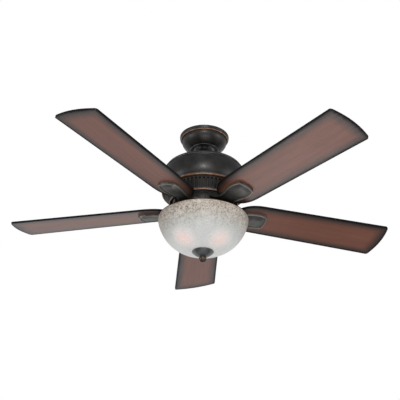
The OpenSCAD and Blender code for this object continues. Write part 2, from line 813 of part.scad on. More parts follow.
// The knob rests at the top of its slot and slides down
module reverse_switch_knob() {
    color([0.1, 0.1, 0.1])
        translate([-knob_w / 2, switch_r - switch_t - 4, reverse_z + reverse_slot_h / 2 - move_gap - knob_h])
            cube([knob_w, 4 + switch_t + 3.5, knob_h]);
}

module run_capacitor() {
    color([0.12, 0.12, 0.13]) translate([-19, -56, pan_z + switch_t + 0.5]) cube([38, 18, 20]);
}

module pull_switches() {
    body = [22, 16, 17];
    color([0.14, 0.14, 0.15]) for (s = [-1, 1]) rotate([0, 0, -90 + s * 35])
        translate([switch_r - switch_t - body[0] - 3, -body[1] / 2, reverse_z - body[2] / 2]) cube(body);
}

module chain_bushes() {
    color("silver") for (s = [-1, 1]) rotate([0, 0, -90 + s * 35])
        translate([switch_r - switch_t - 3, 0, reverse_z]) rotate([0, 90, 0]) difference() {
            union() {
                cylinder(r = 4, h = 7);
                translate([0, 0, 3 + switch_t]) cylinder(r = 5.5, h = 2);
            }
            translate([0, 0, -1]) cylinder(r = 1.6, h = 10);
        }
}

// ---- Light kit

module fitter_pan() {
    lip_r = bowl_r - glass_t - 2;
    color([0.17, 0.15, 0.14]) difference() {
        union() {
            tube(bowl_r - 0.5, centre_rod_r, pan_z - pan_t, pan_z);
            tube(lip_r, lip_r - pan_t, pan_z - 8, pan_z - pan_t / 2);
        }
        around(3, 30) translate([switch_screw_pcr, 0, pan_z - 5]) cylinder(r = screw_r + hole_gap, h = 10);
        translate([0, 24, pan_z - 5]) cylinder(r = 8, h = 10);
    }
}

module at_lamps() {
    for (s = [-1, 1]) translate([s * lamp_x, 0, 0]) children();
}

module lamp_sockets() {
    top = pan_z - pan_t;
    color([0.9, 0.88, 0.82]) at_lamps() difference() {
        translate([0, 0, top - socket_h]) cylinder(r = socket_r, h = socket_h);
        translate([0, 0, top - socket_h - 1]) cylinder(r = thread_r, h = socket_h - 2);
    }
}

module lamp_caps() {
    top = pan_z - pan_t - 6;
    color("silver") at_lamps() {
        translate([0, 0, top - 22]) cylinder(r = thread_r - 0.3, h = 20);
        translate([0, 0, top - 2.01]) cylinder(r1 = thread_r - 3, r2 = 5, h = 3);
    }
}

module lamp_globes() {
    base = pan_z - pan_t - 28;
    color([1, 0.95, 0.85]) at_lamps() rotate_extrude() polygon(concat(
        [[0, base], [thread_r - 0.8, base], [thread_r - 0.8, base - 2]],
        [for (a = [48:-6:-90]) [lamp_r * cos(a), lamp_z - 4 + lamp_r * sin(a)]]));
}

module centre_rod() {
    color([0.6, 0.55, 0.4]) translate([0, 0, centre_rod_low_z])
        cylinder(r = centre_rod_r, h = pan_z + centre_nut_h + 2 - centre_rod_low_z);
}

module rod_nuts() {
    color("silver") for (z = [pan_z, pan_z - pan_t - centre_nut_h]) difference() {
        translate([0, 0, z]) cylinder(r = centre_nut_r, h = centre_nut_h, $fn = 6);
        translate([0, 0, z - 1]) cylinder(r = centre_rod_r, h = centre_nut_h + 2);
    }
}

bowl_points = 16;
// Points down the bowl's surface from the rim to its flat bottom, moved in by inset
function bowl_line(inset) = concat(
    [for (i = [0:bowl_points]) let (
            r = bowl_flat_r + (bowl_r - bowl_flat_r) * sin(90 * (1 - i / bowl_points)),
            drop = bowl_drop_at(r))
        [r - inset * r / bowl_r, rim_z - max(0, drop - inset * drop / bowl_depth)]],
    [[bowl_hole_r, bowl_bottom_z + inset * bowl_drop_at(bowl_flat_r) / bowl_depth]]);

module glass_bowl() {
    color([0.85, 0.83, 0.78]) rotate_extrude() polygon(concat(bowl_line(0), reversed(bowl_line(glass_t))));
}

module bowl_washers() {
    floor_z = bowl_bottom_z + glass_t * bowl_drop_at(bowl_flat_r) / bowl_depth;
    color([0.1, 0.1, 0.1]) for (z = [floor_z, bowl_bottom_z - washer_t])
        tube(washer_r, centre_rod_r + move_gap + 0.3, z, z + washer_t);
}

// The finial cap's flared outline from its rim down to its neck, moved in by inset
function cap_line(inset) = let (h = cap_rim_z - cap_low_z) concat(
    [[cap_r - inset * 0.5, cap_rim_z], [cap_r - inset * 0.5, cap_rim_z - 1.6]],
    [for (t = [0.12, 0.3, 0.5, 0.7, 0.85, 1])
        [cap_neck_r + (cap_r - 1 - cap_neck_r) * pow(1 - t, 1.3) - inset * (1 - t),
         cap_rim_z - 1.6 - (h - 1.6) * pow(t, 0.9) + inset * t]]);

module finial_cap() {
    wall = 1.5;
    hole_r = centre_rod_r + 0.6;
    color([0.17, 0.15, 0.14]) {
        difference() {
            rotate_extrude() polygon(concat(cap_line(0), [[hole_r, cap_low_z], [hole_r, cap_low_z + wall]],
                reversed(cap_line(wall))));
            translate([0, 0, cap_low_z - 1]) cylinder(r = hole_r, h = 4);
        }
        tube(hole_r + 2.5, hole_r, cap_low_z + wall / 2, cap_top_z);
    }
}

module finial_knob() {
    top = cap_low_z - move_gap;
    color([0.4, 0.27, 0.18]) difference() {
        translate([0, 0, knob_z]) sphere(r = knob_r);
        translate([-knob_r, -knob_r, top]) cube([2 * knob_r, 2 * knob_r, knob_r]);
        translate([0, 0, centre_rod_low_z - 1]) cylinder(r = centre_rod_r + run_gap, h = knob_r + 2);
    }
}

hanger_bracket();
ceiling_canopy();
canopy_trim_ring();
canopy_screws();
hanger_ball();
ball_cross_pin();
downrod();
motor_leads();
rod_coupling();
coupling_pin();
coupling_set_screws();
coupling_cover();
housing_dome();
housing_band();
band_trim_ring();
vent_band();
vent_trim_ring();
housing_screws();
motor_shaft();
stator_core();
stator_windings();
bearing_inner_races();
bearing_balls();
bearing_outer_races();
upper_rotor_shell();
lower_rotor_shell();
rotor_cage_ring();
iron_screws();
blade_screws();
blade_grommets();
carrier_plate();
shaft_nut();
switch_housing();
switch_housing_screws();
reverse_switch_body();
reverse_switch_knob();
run_capacitor();
pull_switches();
chain_bushes();
fitter_pan();
lamp_sockets();
lamp_caps();
lamp_globes();
centre_rod();
rod_nuts();
glass_bowl();
bowl_washers();
finial_cap();
finial_knob();
for (i = [0:blade_count - 1]) {
    blade_iron(i);
    blade(i);
}
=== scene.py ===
import json
import math

import bmesh
import bpy
from mathutils import Matrix, Vector


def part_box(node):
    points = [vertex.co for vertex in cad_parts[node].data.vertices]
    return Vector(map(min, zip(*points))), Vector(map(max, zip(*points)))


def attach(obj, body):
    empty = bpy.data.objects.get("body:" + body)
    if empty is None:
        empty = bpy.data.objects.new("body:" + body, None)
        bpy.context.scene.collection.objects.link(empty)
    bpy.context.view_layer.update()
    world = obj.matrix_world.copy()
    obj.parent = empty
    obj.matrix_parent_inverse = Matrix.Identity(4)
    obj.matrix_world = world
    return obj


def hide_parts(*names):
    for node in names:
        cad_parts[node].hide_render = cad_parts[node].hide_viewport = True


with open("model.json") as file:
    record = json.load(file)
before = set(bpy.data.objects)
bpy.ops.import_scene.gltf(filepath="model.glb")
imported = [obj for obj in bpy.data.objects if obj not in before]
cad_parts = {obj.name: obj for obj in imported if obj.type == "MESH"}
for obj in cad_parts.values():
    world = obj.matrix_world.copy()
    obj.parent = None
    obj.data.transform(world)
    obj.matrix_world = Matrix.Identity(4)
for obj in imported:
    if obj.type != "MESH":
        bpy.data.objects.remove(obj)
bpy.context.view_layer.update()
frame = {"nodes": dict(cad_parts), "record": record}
cad = frame["nodes"]

MM = 0.001


# ---- Sizes that the CAD nodes don't give directly, in millimetres and degrees

BLADE_COUNT = 5
FIRST_BLADE_DEG = 20.5
BLADE_PITCH_DEG = 11.5
BLADE_CANT_DEG = 1.0
BLADE_FRAME_DROP = 16.6     # the blades' frame lies this far under the lower trim ring
BLADE_THICK = 6.0
BLADE_ROOT = 105.0          # the blade's ends, as distances from the centre line
BLADE_TIP = 659.5
BLADE_ROUND = 92.0          # length of the rounded root
BLADE_ROOT_W = 137.0
BLADE_TIP_W = 157.0
BLADE_CROWN = 9.0           # how far the tip's middle stands out past its corners
BLADE_CORNER = 10.0
BLADE_BEVEL = 1.3
BURN_REACH = 52.0           # how far the burnished edge reaches in over a blade
IRON_RING = 104.0
IRON_WALL = 5.0
IRON_GAP = 1.2
IRON_RING_DEEP = 28.0
PAD_START = 99.0
PAD_THICK = 7.0
PAD_END = 219.0
PAD_BOW = 4.0               # how far the pad's end edge is bowed
ARM_DEEP = 9.0              # how much thicker the arm is than the pad
RIM_HIGH = 2.6
PILLOW_HIGH = 4.6
FLUTES = 60
SLOT_DEEP = 4.6
BOWL_DEPTH = 113.5
BOWL_SHAPE = 2.76           # the two powers of the bowl's line, as in the CAD
BOWL_POWER = 1.51
BOWL_WALL = 4.0

# The studio, in metres and degrees

FLOOR_Z = -5.0
FLOOR_REACH = 3.0
CAMERA_PLACE = (-0.0055, -2.636, -1.6822)
CAMERA_LOOK_UP_DEG = 28.66
CAMERA_ROLL = 0.0143        # radians
CAMERA_LENS = 82.35         # millimetres
CAMERA_SHIFT = (-0.0047, 0.0004)
# The room's grey by height, from 0 straight down to 1 straight up
SKY_STOPS = ((0.11, 0.06), (0.19, 0.22), (0.26, 0.80), (0.33, 0.96), (0.36, 0.40),
             (0.41, 0.50), (0.46, 0.92), (0.56, 0.95), (0.72, 0.42))


# ---- Lines and meshes

def smooth_line(points, steps=6):
    """A curve through the points, as short straight stretches."""
    ends = [points[0]] + list(points) + [points[-1]]
    line = []
    for before, start, end, after in zip(ends, ends[1:], ends[2:], ends[3:]):
        for k in range(steps):
            t = k / steps
            line.append(tuple(
                0.5 * (2 * b + (c - a) * t + (2 * a - 5 * b + 4 * c - d) * t * t
                       + (3 * b - a - 3 * c + d) * t ** 3)
                for a, b, c, d in zip(before, start, end, after)))
    return line + [tuple(points[-1])]


def inner_line(line, wall):
    """The same line moved inwards by the wall's thickness, square to itself."""
    moved = []
    for i, (r, z) in enumerate(line):
        r0, z0 = line[max(i - 1, 0)]
        r1, z1 = line[min(i + 1, len(line) - 1)]
        run = math.hypot(r1 - r0, z1 - z0) or 1.0
        moved.append((r + wall * (z1 - z0) / run, z - wall * (r1 - r0) / run))
    return moved


def turned(section, steps=128, turn=360.0):
    """A closed section, (radius, height) in millimetres, spun round the centre line."""
    bm = bmesh.new()
    verts = [bm.verts.new((r * MM, 0, z * MM)) for r, z in section]
    edges = [bm.edges.new(pair) for pair in zip(verts, verts[1:] + verts[:1])]
    bmesh.ops.rotate(bm, verts=verts, cent=(0, 0, 0),
                     matrix=Matrix.Rotation(math.radians(-turn / 2), 3, "Z"))
    bmesh.ops.spin(bm, geom=verts + edges, cent=(0, 0, 0), axis=(0, 0, 1), dvec=(0, 0, 0),
                   angle=math.radians(turn), steps=steps, use_merge=turn == 360.0, use_duplicate=False)
    bmesh.ops.remove_doubles(bm, verts=bm.verts, dist=1e-7)
    if turn < 360.0:
        bmesh.ops.holes_fill(bm, edges=[e for e in bm.edges if e.is_boundary], sides=0)
    bmesh.ops.recalc_face_normals(bm, faces=bm.faces)
    return bm


def walled(line, wall):
    """A closed section: the line, and back along its inside."""
    return line + inner_line(line, wall)[::-1]


def sharp_edges(bm, degrees):
    return [e for e in bm.edges if len(e.link_faces) == 2 and e.calc_face_angle() > math.radians(degrees)]


def finish_piece(bm, name, finish, body, replaced, smooth_deg=38.0):
    """Makes the mesh an object, gives it its finish, ties it to its body and hides the CAD nodes that it
    replaces.
    """
    mesh = bpy.data.meshes.new(name)
    bm.to_mesh(mesh)
    bm.free()
    mesh.shade_smooth()
    mesh.set_sharp_from_angle(angle=math.radians(smooth_deg))
    mesh.materials.append(finish)
    piece = bpy.data.objects.new(name, mesh)
    bpy.context.scene.collection.objects.link(piece)
    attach(piece, body)
    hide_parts(*replaced)
    return piece


def level(node, low=True):
    """The height of a CAD node's bottom or top, in millimetres."""
    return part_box(node)[0 if low else 1].z / MM


def reach(node):
    """A round CAD node's outer radius, in millimetres."""
    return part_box(node)[1].x / MM


# ---- Materials

class Finish:
    """A Principled material and short ways to add nodes to it."""

    def __init__(self, name, **sockets):
        self.material = bpy.data.materials.new(name)
        self.material.use_nodes = True
        self.tree = self.material.node_tree
        self.shader = self.tree.nodes["Principled BSDF"]
        for socket, value in sockets.items():
            self.shader.inputs[socket.replace("_", " ")].default_value = value

    def node(self, kind, inputs=None, **settings):
        made = self.tree.nodes.new(kind)
        for key, value in settings.items():
            setattr(made, key, value)
        for key, value in (inputs or {}).items():
            self.put(made.inputs[key], value)
        return made

    def put(self, socket, value):
        if isinstance(value, bpy.types.NodeSocket):
            self.tree.links.new(value, socket)
        else:
            socket.default_value = value

    def place(self, scale=(1, 1, 1), uv=None):
        """Coordinates in the object's own frame, or in one of its UV maps."""
        if uv:
            out = self.node("ShaderNodeUVMap", uv_map=uv).outputs["UV"]
        else:
            out = self.node("ShaderNodeTexCoord").outputs["Object"]
        return self.node("ShaderNodeMapping", {"Vector": out, "Scale": scale}).outputs[0]

    def noise(self, scale, detail=4.0, where=None, rough=0.5, twist=0.0):
        inputs = {"Scale": scale, "Detail": detail, "Roughness": rough, "Distortion": twist}
        inputs["Vector"] = where or self.place()
        return self.node("ShaderNodeTexNoise", inputs).outputs["Fac"]

    def spread(self, value, low, high, to_low=0.0, to_high=1.0, kind="LINEAR"):
        """Stretches low..high onto to_low..to_high."""
        return self.node("ShaderNodeMapRange", {
            "Value": value, "From Min": low, "From Max": high, "To Min": to_low, "To Max": to_high},
            interpolation_type=kind).outputs[0]

    def math(self, operation, a, b=0.0):
        made = self.node("ShaderNodeMath", operation=operation)
        self.put(made.inputs[0], a)
        self.put(made.inputs[1], b)
        return made.outputs[0]

    def blend(self, factor, first, second):
        """Mixes two colours: sockets 0, 6 and 7 take them, and 2 gives the result."""
        made = self.node("ShaderNodeMix", data_type="RGBA", blend_type="MIX")
        for socket, value in ((made.inputs[0], factor), (made.inputs[6], first), (made.inputs[7], second)):
            self.put(socket, value)
        return made.outputs[2]

    def bump(self, height, strength, distance=0.001):
        made = self.node("ShaderNodeBump", {"Strength": strength, "Distance": distance, "Height": height})
        self.put(self.shader.inputs["Normal"], made.outputs["Normal"])

    def set(self, socket, value):
        self.put(self.shader.inputs[socket], value)


def rgb(red, green, blue):
    return (red, green, blue, 1.0)


BRONZE_DARK = rgb(0.0100, 0.0090, 0.0084)
BRONZE_LIGHT = rgb(0.0185, 0.0160, 0.0145)
COPPER = rgb(0.40, 0.20, 0.105)
# A pale tone for painted highlight lines on beads and edges.
PAINTED_HIGHLIGHT = rgb(0.17, 0.155, 0.145)


def bronze(name, copper=(), painted_highlight_bands=(), highlight_attribute=None, highlight_tone=COPPER, grain=1.0, rough=0.34,
           metallic=0.25, shades=(BRONZE_DARK, BRONZE_LIGHT), painted_hub_shade=None, shine=0.42):
    """Dark bronze paint, rubbed through to copper in bands of (height, half width); the pale bands of the
    same kind are painted highlights on beads and edges.

    Near the centre, between the two hub radii given, the paint goes to near black: painted shade where the
    part lies under the motor.
    """
    made = Finish(name, Metallic=metallic, Roughness=rough)
    made.shader.inputs["Specular IOR Level"].default_value = shine
    cloud = made.noise(38.0, 5.0)
    paint = made.blend(made.spread(cloud, 0.35, 0.68), *shades)
    # Patchy mask for the rubbed copper and for the painted highlights alike.
    wear_and_highlight_patches = made.spread(made.noise(85.0, 4.0), 0.3, 0.62, 0.45, 1.0)
    if copper or painted_highlight_bands:
        height = made.node("ShaderNodeSeparateXYZ", {"Vector": made.place()}).outputs["Z"]
    # Copper bands are rubbed copper; the pale bands are painted highlights.
    for bands, tone in ((copper, COPPER), (painted_highlight_bands, PAINTED_HIGHLIGHT)):
        for z, half in bands:
            off = made.math("ABSOLUTE", made.math("SUBTRACT", height, z * MM))
            near = made.spread(off, 0.0, half * MM, 1.0, 0.0, "SMOOTHSTEP")
            paint = made.blend(made.math("MULTIPLY", near, wear_and_highlight_patches), paint, tone)
    # A painted highlight, read from a vertex attribute, lightens the crests that the attribute marks.
    if highlight_attribute:
        painted_rim_highlight = made.node("ShaderNodeAttribute", attribute_name=highlight_attribute).outputs["Fac"]
        paint = made.blend(made.math("MULTIPLY", painted_rim_highlight, wear_and_highlight_patches), paint, highlight_tone)
    # Painted shade: near the hub, under the motor, the paint goes to near black.
    if painted_hub_shade:
        flat = made.node("ShaderNodeVectorMath", {0: made.place(), 1: (1, 1, 0)}, operation="MULTIPLY")
        outward = made.node("ShaderNodeVectorMath", {0: flat.outputs["Vector"]}, operation="LENGTH")
        hub_shade = made.spread(outward.outputs["Value"], painted_hub_shade[0] * MM, painted_hub_shade[1] * MM,
                             0.88, 0.0, "SMOOTHSTEP")
        paint = made.blend(hub_shade, paint, rgb(0.004, 0.004, 0.004))
    made.set("Base Color", paint)
    made.set("Roughness", made.spread(cloud, 0.3, 0.7, rough - 0.05, rough + 0.09))
    fine = made.noise(520.0, 3.0)
    coarse = made.math("MULTIPLY", made.noise(150.0, 2.0), 0.8)
    made.bump(made.math("ADD", fine, coarse), 0.10 * grain, 0.0006)
    return made.material


def walnut():
    """Reddish walnut laminate with lengthwise grain and burnished edges."""
    made = Finish("walnut")
    along = made.place(scale=(1.6, 26.0, 1.0), uv="grain")
    broad = made.noise(1.6, 5.0, along, 0.55, 0.6)
    streak = made.noise(9.0, 8.0, made.place(scale=(0.9, 34.0, 1.0), uv="grain"), 0.62, 0.25)
    pore = made.noise(60.0, 3.0, made.place(scale=(0.5, 16.0, 1.0), uv="grain"), 0.6)
    base = made.blend(made.spread(broad, 0.32, 0.68), rgb(0.192, 0.063, 0.036), rgb(0.246, 0.088, 0.051))
    base = made.blend(made.spread(streak, 0.40, 0.66, 0.0, 0.55), base, rgb(0.150, 0.050, 0.031))
    base = made.blend(made.spread(pore, 0.56, 0.70, 0.0, 0.40), base, rgb(0.085, 0.032, 0.022))
    edge = made.node("ShaderNodeSeparateXYZ", {
        "Vector": made.node("ShaderNodeUVMap", uv_map="edge").outputs["UV"]})
    root = made.spread(edge.outputs["X"], 0.17, 0.30, 0.55, 0.0, "SMOOTHSTEP")
    base = made.blend(root, base, rgb(0.240, 0.150, 0.090))
    wobble = made.math("MULTIPLY", made.math("SUBTRACT", made.noise(7.0, 4.0, along), 0.5), 0.16)
    near = made.math("ADD", edge.outputs["Y"], wobble)
    base = made.blend(made.spread(near, 0.28, 0.92, 0.0, 0.97, "SMOOTHSTEP"), base, rgb(0.020, 0.015, 0.014))
    burn = made.spread(near, 0.86, 0.98, 0.0, 1.0, "SMOOTHSTEP")
    made.set("Base Color", made.blend(burn, base, rgb(0.008, 0.006, 0.006)))
    made.set("Roughness", made.spread(streak, 0.3, 0.7, 0.28, 0.38))
    made.set("Specular IOR Level", made.spread(near, 0.78, 0.96, 0.55, 0.05))
    made.bump(made.math("ADD", pore, streak), 0.12, 0.0005)
    return made.material


def scavo_glass(rim_z, depth, painted_glow_spots):
    """Frosted glass, veined brown towards the rim, with a painted warm glow at each spot and a painted glow
    growing towards the bottom.
    """
    made = Finish("scavo_glass", Roughness=0.42)
    made.shader.inputs["Specular IOR Level"].default_value = 0.4
    height = made.node("ShaderNodeSeparateXYZ", {"Vector": made.place()}).outputs["Z"]
    down = made.spread(height, rim_z * MM, (rim_z - depth) * MM)
    vein = made.noise(95.0, 6.0, None, 0.62, 1.2)
    fleck = made.noise(170.0, 5.0, None, 0.7, 0.8)
    patch = made.noise(16.0, 4.0, None, 0.6, 0.5)
    rimward = made.spread(down, 0.02, 0.72, 1.0, 0.0, "SMOOTHSTEP")
    cool = made.blend(made.spread(patch, 0.3, 0.7), rgb(0.50, 0.51, 0.495), rgb(0.57, 0.57, 0.55))
    warm = made.blend(made.spread(patch, 0.3, 0.7), rgb(0.46, 0.395, 0.325), rgb(0.54, 0.475, 0.395))
    tint = made.blend(made.math("MULTIPLY", rimward, 0.9), cool, warm)
    threads = made.spread(made.math("ABSOLUTE", made.math("SUBTRACT", vein, 0.5)), 0.0, 0.075, 1.0, 0.0)
    threads = made.math("MULTIPLY", threads, made.spread(fleck, 0.34, 0.56))
    threads = made.math("MULTIPLY", threads, made.math("ADD", rimward, 0.30))
    tint = made.blend(made.math("MULTIPLY", threads, 0.95), tint, rgb(0.100, 0.075, 0.055))
    specks = made.math("MULTIPLY", made.spread(fleck, 0.56, 0.66), made.math("ADD", rimward, 0.12))
    tint = made.blend(made.math("MULTIPLY", specks, 0.5), tint, rgb(0.21, 0.155, 0.115))
    rim = made.spread(down, 0.0, 0.03, 1.0, 0.0, "SMOOTHSTEP")
    tint = made.blend(made.math("MULTIPLY", rim, 0.8), tint, rgb(0.72, 0.42, 0.22))
    made.set("Base Color", tint)
    painted_glow = None
    # Painted glow: warm light painted into the glass around each spot.
    for spot in painted_glow_spots:
        gap = made.node("ShaderNodeVectorMath", {0: made.place(), 1: spot}, operation="DISTANCE")
        near = made.spread(gap.outputs["Value"], 0.008, 0.052, 1.0, 0.0, "SMOOTHSTEP")
        painted_glow = near if painted_glow is None else made.math("MAXIMUM", painted_glow, near)
    made.set("Emission Color", made.blend(painted_glow, rgb(1.0, 0.98, 0.96), rgb(1.0, 0.55, 0.46)))
    # Painted glow: the glass gives out more light towards its bottom, though it is no lamp.
    painted_lower_glow = made.spread(down, 0.40, 1.0, 0.0, 0.21, "SMOOTHSTEP")
    made.set("Emission Strength", made.math("ADD", made.math("MULTIPLY", painted_glow, 0.25), painted_lower_glow))
    made.bump(made.math("ADD", fleck, vein), 0.22, 0.0012)
    return made.material


def plain(name, low, high, metallic=0.0, rough=0.5, scale=60.0, bump=0.08, stretch=(1, 1, 1), **sockets):
    """A worked or moulded finish: two shades of one colour, with a fine surface."""
    made = Finish(name, Metallic=metallic, **sockets)
    where = made.place(scale=stretch)
    cloud = made.noise(scale, 4.0, where)
    made.set("Base Color", made.blend(made.spread(cloud, 0.35, 0.65), low, high))
    made.set("Roughness", made.spread(cloud, 0.3, 0.7, rough - 0.06, rough + 0.08))
    made.bump(made.noise(scale * 9, 3.0, where), bump, 0.0005)
    return made.material


def cad_finishes():
    """One finish for each material slot whose CAD nodes stay as they are."""
    spun = (1, 1, 14)
    return {
        "bracket_steel": plain("bracket_steel", rgb(0.34, 0.35, 0.36), rgb(0.48, 0.49, 0.50), 0.9, 0.42, 45),
        "bronze_paint": bronze("bronze_paint"),
        "copper_trim": bronze("copper_trim"),
        "cast_bronze": bronze("cast_bronze", grain=2.0),
        "lamp_glass": plain("lamp_glass", rgb(0.86, 0.82, 0.74), rgb(0.92, 0.88, 0.80), 0.0, 0.25, 20, 0.02,
                            Emission_Color=rgb(1.0, 0.82, 0.62), Emission_Strength=1.6),
        "lamp_metal": plain("lamp_metal", rgb(0.55, 0.55, 0.54), rgb(0.70, 0.70, 0.68),
                            1.0, 0.3, 30, 0.1, spun),
        "cast_aluminium": plain("cast_aluminium", rgb(0.33, 0.33, 0.34), rgb(0.45, 0.45, 0.46),
                                0.9, 0.5, 90, 0.3),
        "lamination": plain("lamination", rgb(0.14, 0.145, 0.155), rgb(0.26, 0.27, 0.28),
                            0.8, 0.45, 30, 0.4, (1, 1, 60)),
        "winding": plain("winding", rgb(0.36, 0.13, 0.045), rgb(0.50, 0.20, 0.07),
                         0.7, 0.35, 60, 0.6, (1, 1, 20)),
        "bearing_steel": plain("bearing_steel", rgb(0.52, 0.53, 0.55), rgb(0.62, 0.63, 0.65),
                               1.0, 0.2, 40, 0.04, spun),
        "screw_steel": plain("screw_steel", rgb(0.07, 0.07, 0.075), rgb(0.13, 0.13, 0.135),
                             0.85, 0.35, 120, 0.12),
        "black_plastic": plain("black_plastic", rgb(0.014, 0.014, 0.015), rgb(0.026, 0.026, 0.028),
                               0.0, 0.45, 90, 0.2),
        "lead_insulation": plain("lead_insulation", rgb(0.02, 0.02, 0.024), rgb(0.04, 0.04, 0.046),
                                 0.0, 0.4, 60, 0.05),
        "bush_metal": plain("bush_metal", rgb(0.30, 0.22, 0.11), rgb(0.42, 0.32, 0.18), 0.9, 0.35, 80, 0.1),
        "porcelain": plain("porcelain", rgb(0.72, 0.70, 0.64), rgb(0.80, 0.78, 0.72), 0.0, 0.18, 25, 0.03),
        "rubber": plain("rubber", rgb(0.012, 0.012, 0.012), rgb(0.022, 0.022, 0.022), 0.0, 0.75, 110, 0.2),
        "rod_brass": plain("rod_brass", rgb(0.42, 0.32, 0.14), rgb(0.55, 0.43, 0.22),
                           1.0, 0.35, 30, 0.5, (1, 1, 40)),
        "finial_paint": bronze("finial_paint"),
        "finial_copper": bronze("finial_copper"),
        "walnut": plain("walnut_core", rgb(0.12, 0.05, 0.03), rgb(0.18, 0.08, 0.05), 0.0, 0.5, 40),
        "scavo_glass": plain("glass_core", rgb(0.6, 0.6, 0.56), rgb(0.7, 0.7, 0.66), 0.0, 0.4, 40),
    }


# ---- Canopy

def make_canopy():
    """The ceiling canopy with the trim ring round its top."""
    rim, body = reach("canopy_trim_ring"), reach("ceiling_canopy")
    band = -level("canopy_trim_ring")
    low = level("ceiling_canopy")
    trim = [(rim, 0.0), (rim, -2.4)] + smooth_line([(rim - 0.2, -4.5), (rim - 0.7, -7.4), (rim - 2.0, -9.6),
                                                    (rim - 3.4, -band + 2.4)], 4)
    trim += smooth_line([(rim - 3.2, -band + 1.8), (rim - 3.7, -band + 0.5), (rim - 5.0, -band),
                         (rim - 6.6, -band + 0.5)], 4) + [(body + 0.1, -band + 0.9)]
    bm = turned(trim + [(body + 0.1, -band + 2.2), (rim - 3.8, -8.4), (rim - 1.6, -2.4), (rim - 1.4, 0.0)])
    finish = bronze("canopy_trim_bronze", copper=[(-band + 0.8, 1.5)], painted_highlight_bands=[(-band + 2.4, 0.9)])
    finish_piece(bm, "canopy_trim", finish, "root", ["canopy_trim_ring"])

    flat, hole = 48.2, 35.2
    shell = [(body, -0.4), (body, -band - 1.2)]
    shell += smooth_line([(body - 0.1, -band - 2.2), (body - 0.4, low * 0.40), (body - 1.4, low * 0.48),
                          (body - 4.6, low * 0.60), (body - 9.6, low * 0.72), (body - 16.2, low * 0.84),
                          (flat + 5.2, low * 0.925), (flat + 1.2, low + 1.9)], 5)
    shell += smooth_line([(flat + 0.5, low + 1.2), (flat + 0.2, low + 0.2), (flat - 1.2, low - 0.1),
                          (flat - 2.4, low + 0.3)], 3)
    shell += [(flat - 3.0, low + 0.8), (hole + 1.6, low + 0.6), (hole + 0.6, low + 0.8), (hole, low + 1.3)]
    bm = turned(walled(shell, 1.2))
    finish_piece(bm, "canopy_shell", bronze("canopy_bronze", painted_highlight_bands=[(low + 0.2, 0.5)]), "root",
                 ["ceiling_canopy"])


# ---- Motor housing

def make_housing():
    """The motor's dome, its smooth band, the vented band and their trim rings."""
    top, bottom = level("housing_dome", False), level("housing_band")
    shoulder, ring = reach("housing_dome"), reach("band_trim_ring")
    bead = level("housing_band", False)
    hole = 17.8
    dome = smooth_line([(hole, top), (50.0, top - 0.2), (84.0, top - 1.8), (110.0, top - 4.4),
                        (125.5, top - 8.8), (shoulder - 4.4, bead + 5.0)], 5)
    dome += smooth_line([(shoulder - 2.2, bead + 4.2), (shoulder - 1.0, bead + 2.6),
                         (shoulder - 1.8, bead + 0.9)], 4)
    dome += [(shoulder - 2.8, bead + 0.1)]
    bm = turned(walled(dome, 1.6))
    finish_piece(bm, "housing_dome_shell", bronze("dome_bronze", painted_highlight_bands=[(bead + 2.8, 1.2)]), "fan_body",
                 ["housing_dome"])

    height = bead - bottom
    side = smooth_line([(shoulder - 3.0, bead), (shoulder - 1.2, bead - 1.4), (shoulder - 0.8, bead - 3.2),
                        (shoulder - 1.6, bead - 4.6)], 4)
    side += smooth_line([(shoulder - 1.2, bead - 5.4), (shoulder + 0.9, bead - height * 0.18),
                         (shoulder + 2.7, bead - height * 0.38), (shoulder + 3.2, bead - height * 0.56),
                         (shoulder + 2.2, bead - height * 0.74), (shoulder - 0.4, bead - height * 0.88),
                         (shoulder - 2.6, bead - height * 0.95), (shoulder - 2.8, bottom)], 6)
    bm = turned(walled(side, 1.6), 160)
    finish_piece(bm, "housing_band_shell", bronze("band_bronze"), "fan_body", ["housing_band"])

    inner = reach("vent_band") - 3.0
    floor = level("band_trim_ring")
    beads = [(ring - 6.0, bottom), (ring - 3.4, bottom - 0.1)]
    beads += smooth_line([(ring - 2.0, bottom - 0.5), (ring - 1.1, bottom - 1.8),
                          (ring - 1.9, bottom - 3.1)], 4)
    beads += smooth_line([(ring - 2.2, bottom - 3.5), (ring - 0.5, bottom - 4.2), (ring, bottom - 5.4),
                          (ring - 0.6, bottom - 6.7), (ring - 2.4, bottom - 7.6), (ring - 5.0, floor)], 4)
    beads += [(inner, floor), (inner, floor + 1.5), (ring - 6.6, floor + 1.8), (ring - 6.6, bottom)]
    finish = bronze("ring_bronze", copper=[(bottom - 6.0, 3.1)], painted_highlight_bands=[(bottom - 1.6, 1.3)])
    finish_piece(turned(beads, 160), "band_trim", finish, "fan_body", ["band_trim_ring"])

    make_vent_band()

    low, high = level("vent_trim_ring"), level("vent_trim_ring", False)
    edge = reach("vent_trim_ring") - 0.7
    ring_line = [(edge - 1.0, high)]
    ring_line += smooth_line([(edge - 0.2, high - 0.4), (edge + 0.6, high - 1.5), (edge, high - 2.8)], 4)
    ring_line += smooth_line([(edge - 0.3, high - 3.1), (edge + 0.5, high - 4.2), (edge + 0.2, high - 5.6),
                              (edge - 1.4, low)], 4)
    ring_line += [(edge - 6.0, low), (edge - 6.0, high)]
    finish = bronze("vent_ring_bronze", copper=[(high - 5.2, 1.8)], painted_highlight_bands=[(high - 1.6, 1.4)])
    finish_piece(turned(ring_line, 144), "vent_trim", finish, "fan_body", ["vent_trim_ring"])


